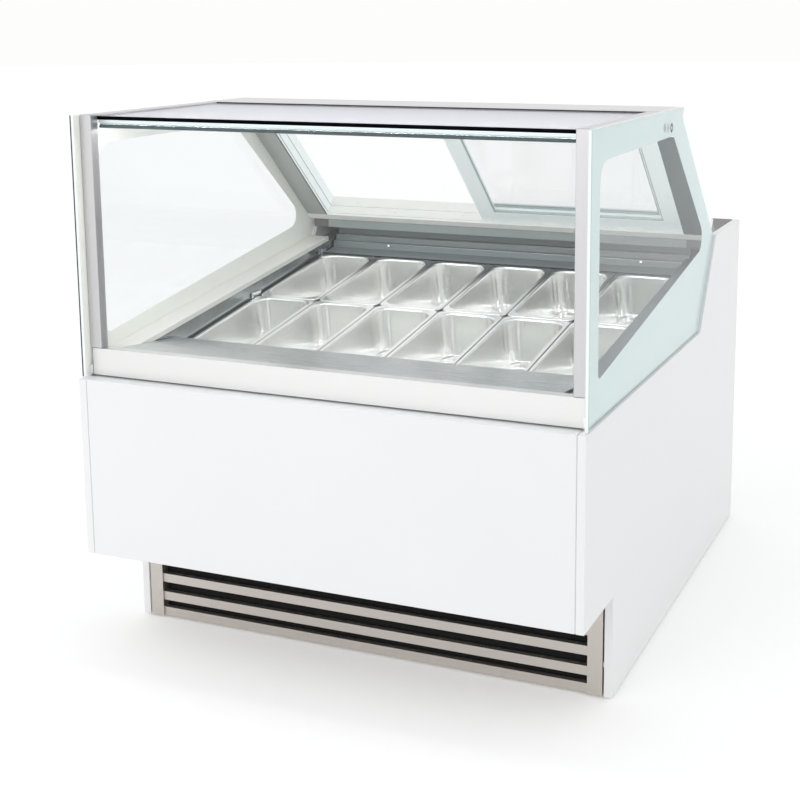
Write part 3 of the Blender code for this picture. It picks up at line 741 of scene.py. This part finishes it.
def grooved_jamb(side, word, outer, inner, mats):
    """Jamb between x = outer and x = inner, with two grooves for the doors in its inner face."""
    d0, d1 = JAMB_D
    nick, groove, deep = 0.0015, 0.0022, 0.006
    corner, bottom = inner + side * nick, inner + side * deep
    section = [(outer, d0), (corner, d0), (inner, d0 + nick)]
    for d in (d0 + 0.0075, (d0 + d1) / 2 + 0.001):
        section += [(inner, d), (bottom, d), (bottom, d + groove), (inner, d + groove)]
    section += [(inner, d1 - nick), (corner, d1), (outer, d1)]
    rings = [slope_ring(section, s) for s in JAMB_S]
    if side < 0:
        rings = [r[::-1] for r in rings]
    jamb = loft(f"grooved_jamb_{word}", rings, [mats["frame"], mats["jamb_painted_shade"], mats["jamb_painted_deep_shade"]])
    # faces towards the case take the darker copy as painted shade
    for polygon in jamb.data.polygons:
        if polygon.normal.dot(Vector((0, -OUT.x, -OUT.y))) > 0.7 and len(polygon.vertices) == 4:
            polygon.material_index = 1 if side < 0 else 2
    place(jamb, "cabinet", f"door_jamb_{word}")


def rear_frame(mats):
    """Jambs beside the doors, a dark line at the left one's corner, and small screws in the bottom track."""
    for side, word in SIDES:
        low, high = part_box(f"door_jamb_{word}")
        inner, outer = (high.x, low.x) if side < 0 else (low.x, high.x)
        grooved_jamb(side, word, outer, inner, mats)
        if side < 0:
            x0, x1 = inner - 0.0022, inner - 0.0002
            near, far = JAMB_D[0] - 0.0005, JAMB_D[0] - 0.0001
            section = [(x0, near), (x1, near), (x1, far), (x0, far)]
            rings = [slope_ring(section, s) for s in (0.0660, 0.4625)]
            place(loft("jamb_corner_line", rings, [mats["gasket_and_shade"]]), "cabinet")
    head = [(0.0, 0.0), (0.0028, 0.0), (0.0028, 0.0001), (0.0018, 0.00032), (0.0, 0.00032)]
    case_side, rear_side = -0.014, 0.008
    screws = [(-0.42, rear_side), (-0.30, case_side), (-0.16, rear_side), (-0.10, case_side),
              (0.20, rear_side)]
    for i, (x, d) in enumerate(screws):
        y, z = slope_point(TRACK_S, d)
        screw = turned(f"track_screw_{i}", head, (x, y, z), (0.0, -ALONG.x, -ALONG.y), mats["chrome"], 14)
        place(screw, "cabinet")


def door_seals(mats):
    """Grey-green glazing seal round each sliding door's pane, on the case side."""
    inset, width, thick = 0.0080, 0.0024, 0.0034
    s0, s1 = 0.0965, 0.4200
    for word in ("left", "right"):
        low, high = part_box(f"door_{word}_glass")
        x0, x1 = low.x + inset, high.x - inset
        d0 = DOOR_D[word] + 0.0012
        outside = [(x0, s0), (x1, s0), (x1, s1), (x0, s1)]
        inside = [(x0 + width, s0 + width), (x1 - width, s0 + width), (x1 - width, s1 - width),
                  (x0 + width, s1 - width)]
        verts = []
        for d in (d0, d0 + thick):
            for ring in (outside, inside):
                verts += [(x, *slope_point(s, d)) for x, s in ring]
        faces = []
        for i in range(4):
            j = (i + 1) % 4
            faces.append((i, 4 + i, 4 + j, j))
            faces.append((8 + i, 8 + j, 12 + j, 12 + i))
            faces.append((i, j, 8 + j, 8 + i))
            faces.append((4 + i, 12 + i, 12 + j, 4 + j))
        seal = mesh_object(f"door_seal_{word}", verts, [f[::-1] for f in faces], [mats["seal"]])
        place(seal, f"rear_door_{word}")


def top_fittings(mats):
    """Gasket in the seam behind the top pane, and a cover strip along each of the pane's sides."""
    gasket_and_shade = block("top_seam_gasket", (-0.5600, -0.1612, 1.1725), (0.5600, -0.1596, 1.1812), mats["gasket_and_shade"])
    place(bevel(gasket_and_shade, 0.0004), "cabinet")
    low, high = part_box("top_glass")
    for side, word in SIDES:
        x0, x1 = sorted((side * 0.5320, side * 0.5610))
        cover = block(f"top_side_cover_{word}", (x0, low.y + 0.0005, high.z + 0.0002),
                      (x1, high.y - 0.0005, TOP - 0.0004), mats["cover"])
        place(bevel(cover, 0.0008), "cabinet")


def deck_brackets(mats):
    """Small plates on the tub's side walls, at the seam between the rows and at the rear end of the deck."""
    for side, word in SIDES:
        for where, u, size in (("middle", -0.004, 0.044), ("rear", 0.366, 0.026)):
            y, z = deck_point(u, 0.0025)
            x0, x1 = sorted((side * 0.5074, side * 0.5030))
            plate = block(f"deck_bracket_{where}_{word}", (x0, y - size / 2, z - 0.012),
                          (x1, y + size / 2, z + 0.008), mats["chrome"])
            place(bevel(plate, 0.001, 3), "cabinet")


def riser_fittings(mats):
    """Two studs on the riser, and the apron under the bottom track, a paler copy of the riser steel painted
    as light.
    """
    stud_y, stud_z = 0.3758, 0.7590
    knob = [(0.0, 0.0), (0.0045, 0.0), (0.0045, 0.003), (0.0035, 0.0048), (0.0, 0.0055)]
    for i, x in enumerate((-0.333, 0.382)):
        stud = turned(f"riser_stud_{i}", knob, (x, stud_y, stud_z), (0, -1, 0.1), mats["chrome"], 18)
        place(stud, "cabinet")
    apron = block("track_apron", (-0.5050, 0.3487, 0.8075), (0.5050, 0.3499, 0.8284), mats["apron"])
    place(bevel(apron, 0.0004, 2), "cabinet")


def pan_gap_strips(mats):
    """Dark strip below the gap between neighbouring pans, painted shade that makes the gap read dark."""
    half_run, half_width = 0.3600, 0.0010
    strip = [tuple(deck_point(u, w)) for u, w in ((-half_run, -0.0044), (half_run, -0.0044),
                                                  (half_run, -0.0026), (-half_run, -0.0026))]
    for i in range(PANS_PER_ROW - 1):
        x = PITCH * (i - (PANS_PER_ROW - 2) / 2)
        piece = prism_x(f"pan_gap_strip_{i + 1}", strip, x - half_width, x + half_width, [mats["gasket_and_shade"]])
        place(piece, "cabinet")


def riser_edges(mats):
    """Bright chrome line along each step of the riser, a painted highlight on the step's edge."""
    for i, (y, z) in enumerate(((0.3769, 0.7641), (0.3924, 0.7811))):
        line = block(f"riser_edge_{i}", (-0.5033, y - 0.0012, z - 0.0006), (0.5033, y + 0.0002, z + 0.0008),
                     mats["chrome"])
        place(bevel(line, 0.0004, 2), "cabinet")


def grille_fittings(mats):
    """Dust filter on the cabinet behind the grille, and the two clips that hold the grille."""
    low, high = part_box("kick_grille")
    sheet = block("dust_filter", (low.x + 0.004, high.y + 0.0008, 0.0085),
                  (high.x - 0.004, high.y + 0.0024, 0.2235), mats["filter"])
    place(bevel(sheet, 0.0003, 1), "cabinet")
    for side, word in SIDES:
        x0, x1 = sorted((side * (high.x + 0.0004), side * (high.x + 0.0024)))
        clip = block(f"grille_clip_{word}", (x0, low.y + 0.004, 0.068), (x1, low.y + 0.014, 0.078),
                     mats["chrome"])
        place(bevel(clip, 0.0004), "grille")


# ---------------------------------------------------------------- studio
def area_light(name, place_at, aim_at, size, power):
    """White rectangular light; size is its width and height in metres and power its watts."""
    data = bpy.data.lights.new(name, "AREA")
    data.shape = "RECTANGLE"
    data.size, data.size_y = size
    data.energy = power
    light = bpy.data.objects.new(name, data)
    light.location = place_at
    light.rotation_euler = (Vector(aim_at) - Vector(place_at)).to_track_quat("-Z", "Y").to_euler()
    bpy.context.scene.collection.objects.link(light)


def studio(mats):
    """Round pale floor, a plain bright backdrop and one soft key light."""
    steps, reach = 24, 40.0
    verts = [(0.0, 0.0, BOTTOM)]
    for i in range(steps):
        a = 2 * math.pi * i / steps
        verts.append((reach * math.cos(a), reach * math.sin(a), BOTTOM))
    faces = [(0, i + 1, (i + 1) % steps + 1) for i in range(steps)]
    mesh_object("studio_floor", verts, faces, [mats["floor"]])

    world = bpy.data.worlds.new("studio")
    bpy.context.scene.world = world
    world.use_nodes = True
    tree = world.node_tree
    background = tree.nodes["Background"]
    coordinates = tree.nodes.new("ShaderNodeTexCoord")
    split = tree.nodes.new("ShaderNodeSeparateXYZ")
    tree.links.new(coordinates.outputs["Generated"], split.inputs[0])
    ramp = tree.nodes.new("ShaderNodeValToRGB")
    tree.links.new(split.outputs["Z"], ramp.inputs["Fac"])
    ramp.color_ramp.elements[0].position = 0.20
    ramp.color_ramp.elements[0].color = (0.985, 0.985, 0.975, 1.0)
    ramp.color_ramp.elements[1].position = 0.75
    ramp.color_ramp.elements[1].color = (0.95, 0.96, 0.97, 1.0)
    tree.links.new(ramp.outputs["Color"], background.inputs["Color"])
    background.inputs["Strength"].default_value = 1.0

    area_light("key", (-1.4, -4.2, 1.9), (0.0, -0.5, 0.5), (2.6, 2.0), 25.0)
    bpy.context.scene.view_settings.view_transform = "Standard"
    bpy.context.scene.view_settings.look = "None"


# ---------------------------------------------------------------- build
make_camera()
materials = make_materials()
finish_cad_nodes(materials)
pan_pieces(materials)
printed_borders(materials)
glass_bolts(materials)
panes(materials)
lamp(materials)
rear_frame(materials)
door_seals(materials)
top_fittings(materials)
deck_brackets(materials)
riser_fittings(materials)
pan_gap_strips(materials)
riser_edges(materials)
grille_fittings(materials)
studio(materials)
